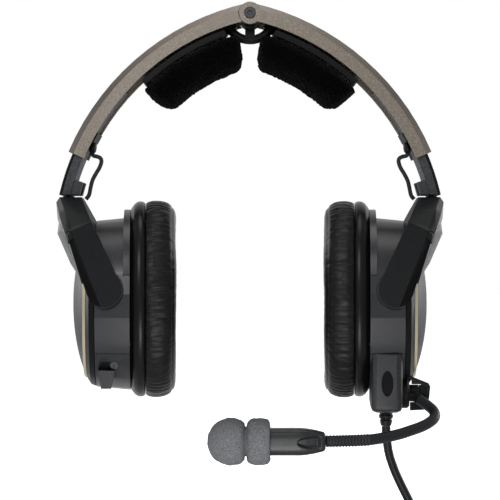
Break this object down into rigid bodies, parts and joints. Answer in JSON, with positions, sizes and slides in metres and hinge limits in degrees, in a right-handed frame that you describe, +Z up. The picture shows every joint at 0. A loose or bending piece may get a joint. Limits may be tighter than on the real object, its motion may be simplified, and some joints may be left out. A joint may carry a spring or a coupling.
{
  "type": "aviation headset",
  "caption": "Headset with a hinged head band, sliding yokes, tilting ear cups, a gooseneck boom microphone and a coiled cable.",
  "frame": {"origin": "crown of the head that wears the set, midway between the ears", "axes": "+X to the wearer's left (the boom's side), +Y to the back of the head, +Z up"},
  "size_m": [0.1974, 0.1095, 0.3497],
  "materials": {
    "hinge_bolt": "blackened steel",
    "hinge_nut": "blackened steel",
    "torsion_spring": "blackened steel",
    "head_bridge": "moulded nylon",
    "head_band_left": "speckled satin paint on a light alloy casting",
    "pad_carrier_left": "moulded nylon",
    "head_pad_left": "black fleece",
    "wire_grommet_left": "satin rubber",
    "slider_left": "satin moulded nylon",
    "loop_wire_left": "satin rubber",
    "yoke_left": "satin moulded nylon",
    "swivel_pin_left": "blackened steel",
    "cup_shell_left": "fine moulded grain",
    "front_pivot_pin_left": "blackened steel",
    "rear_pivot_pin_left": "blackened steel",
    "cover_rim_left": "fine moulded grain",
    "trim_ring_left": "bronze coloured trim",
    "outer_cover_left": "satin grey",
    "cushion_ring_left": "satin rubber",
    "ear_cushion_left": "soft black leather",
    "ear_scrim_left": "acoustic cloth",
    "baffle_left": "fine moulded grain",
    "driver_left": "loudspeaker",
    "circuit_board_left": "circuit board",
    "head_band_right": "speckled satin paint on a light alloy casting",
    "pad_carrier_right": "moulded nylon",
    "head_pad_right": "black fleece",
    "wire_grommet_right": "satin rubber",
    "slider_right": "satin moulded nylon",
    "loop_wire_right": "satin rubber",
    "yoke_right": "satin moulded nylon",
    "swivel_pin_right": "blackened steel",
    "cup_shell_right": "fine moulded grain",
    "front_pivot_pin_right": "blackened steel",
    "rear_pivot_pin_right": "blackened steel",
    "cover_rim_right": "fine moulded grain",
    "trim_ring_right": "bronze coloured trim",
    "outer_cover_right": "satin grey",
    "cushion_ring_right": "satin rubber",
    "ear_cushion_right": "soft black leather",
    "ear_scrim_right": "acoustic cloth",
    "baffle_right": "fine moulded grain",
    "driver_right": "loudspeaker",
    "circuit_board_right": "circuit board",
    "port_cover_right": "fine moulded grain",
    "port_screw_right": "blackened steel",
    "boom_module": "fine moulded grain",
    "boom_hub": "fine moulded grain",
    "wing_nut": "fine moulded grain",
    "boom": "matt rubber",
    "boom_tip": "matt rubber",
    "mic_housing": "satin grey",
    "mic_capsule": "microphone capsule",
    "windscreen": "grey foam",
    "strain_relief": "matt rubber",
    "down_cable": "matt rubber",
    "cable_tail": "matt rubber",
    "cable_coil": "matt rubber",
    "cable_tie": "matt rubber",
    "cable_plug": "satin black plug"
  },
  "bodies": {
    "hinge": {"hinge_bolt": "hinge_bolt", "hinge_nut": "hinge_nut", "torsion_spring": "torsion_spring", "head_bridge": "head_bridge"},
    "arm_left": {"head_band_left": "head_band_left", "pad_carrier_left": "pad_carrier_left", "head_pad_left": "head_pad_left", "wire_grommet_left": "wire_grommet_left"},
    "slider_body_left": {"slider_left": "slider_left", "loop_wire_left": "loop_wire_left"},
    "yoke_body_left": {"yoke_left": "yoke_left", "swivel_pin_left": "swivel_pin_left"},
    "cup_left": {"cup_shell_left": "cup_shell_left", "front_pivot_pin_left": "front_pivot_pin_left", "rear_pivot_pin_left": "rear_pivot_pin_left", "cover_rim_left": "cover_rim_left", "trim_ring_left": "trim_ring_left", "outer_cover_left": "outer_cover_left", "cushion_ring_left": "cushion_ring_left", "ear_cushion_left": "ear_cushion_left", "ear_scrim_left": "ear_scrim_left", "baffle_left": "baffle_left", "driver_left": "driver_left", "circuit_board_left": "circuit_board_left", "boom_module": "boom_module", "strain_relief": "strain_relief", "down_cable": "down_cable", "cable_tail": "cable_tail", "cable_coil": "cable_coil", "cable_tie": "cable_tie", "cable_plug": "cable_plug"},
    "arm_right": {"head_band_right": "head_band_right", "pad_carrier_right": "pad_carrier_right", "head_pad_right": "head_pad_right", "wire_grommet_right": "wire_grommet_right"},
    "slider_body_right": {"slider_right": "slider_right", "loop_wire_right": "loop_wire_right"},
    "yoke_body_right": {"yoke_right": "yoke_right", "swivel_pin_right": "swivel_pin_right"},
    "cup_right": {"cup_shell_right": "cup_shell_right", "front_pivot_pin_right": "front_pivot_pin_right", "rear_pivot_pin_right": "rear_pivot_pin_right", "cover_rim_right": "cover_rim_right", "trim_ring_right": "trim_ring_right", "outer_cover_right": "outer_cover_right", "cushion_ring_right": "cushion_ring_right", "ear_cushion_right": "ear_cushion_right", "ear_scrim_right": "ear_scrim_right", "baffle_right": "baffle_right", "driver_right": "driver_right", "circuit_board_right": "circuit_board_right", "port_cover_right": "port_cover_right", "port_screw_right": "port_screw_right"},
    "boom_arm": {"boom_hub": "boom_hub", "boom": "boom"},
    "thumb_nut": {"wing_nut": "wing_nut"},
    "mic_arm": {"boom_tip": "boom_tip", "mic_housing": "mic_housing", "mic_capsule": "mic_capsule", "windscreen": "windscreen"}
  },
  "joints": [
    {"name": "open_left", "type": "hinge", "parent": "hinge", "child": "arm_left", "pos_m": [0, 0, 0.0283], "axis": [0, -1, 0], "range_deg": [0, 12], "stiffness_Nm_per_rad": 2.4, "springref_deg": -12},
    {"name": "open_right", "type": "hinge", "parent": "hinge", "child": "arm_right", "pos_m": [0, 0, 0.0283], "axis": [0, 1, 0], "range_deg": [0, 12], "stiffness_Nm_per_rad": 2.4, "springref_deg": -12},
    {"name": "extend_left", "type": "hinge", "parent": "arm_left", "child": "slider_body_left", "pos_m": [-0.0264, 0, -0.0913], "axis": [0, 1, 0], "range_deg": [-8.8, 4.5], "deforming": ["loop_wire_left"]},
    {"name": "swivel_left", "type": "hinge", "parent": "slider_body_left", "child": "yoke_body_left", "pos_m": [0.0925, 0, -0.0642], "axis": [0, 0, 1], "range_deg": [-15, 15]},
    {"name": "cup_tilt_left", "type": "hinge", "parent": "yoke_body_left", "child": "cup_left", "pos_m": [0.0732, 0.00135, -0.1102], "axis": [0.0698, 0.9976, 0], "range_deg": [-10, 5.5]},
    {"name": "extend_right", "type": "hinge", "parent": "arm_right", "child": "slider_body_right", "pos_m": [0.0264, 0, -0.0913], "axis": [0, -1, 0], "range_deg": [-8.8, 4.5], "deforming": ["loop_wire_right"]},
    {"name": "swivel_right", "type": "hinge", "parent": "slider_body_right", "child": "yoke_body_right", "pos_m": [-0.0925, 0, -0.0642], "axis": [0, 0, 1], "range_deg": [-15, 15]},
    {"name": "cup_tilt_right", "type": "hinge", "parent": "yoke_body_right", "child": "cup_right", "pos_m": [-0.0732, 0.00135, -0.1102], "axis": [0.0698, -0.9976, 0], "range_deg": [-10, 5.5]},
    {"name": "boom_turn", "type": "hinge", "parent": "cup_left", "child": "boom_arm", "pos_m": [0.07589, -0.01388, -0.1622], "axis": [-0.9976, 0.0698, 0], "range_deg": [-15, 55]},
    {"name": "thumb_nut_turn", "type": "hinge", "parent": "boom_arm", "child": "thumb_nut", "pos_m": [0.07589, -0.01388, -0.1622], "axis": [0.9976, -0.0698, 0], "range_deg": [-25, 35]},
    {"name": "mic_bend", "type": "hinge", "parent": "boom_arm", "child": "mic_arm", "pos_m": [0.0569, -0.0512, -0.18025], "axis": [0, 0, 1], "range_deg": [-20, 20]}
  ],
  "couplings": [
    {"joint": "open_right", "follows": "open_left", "ratio": 1}
  ]
}
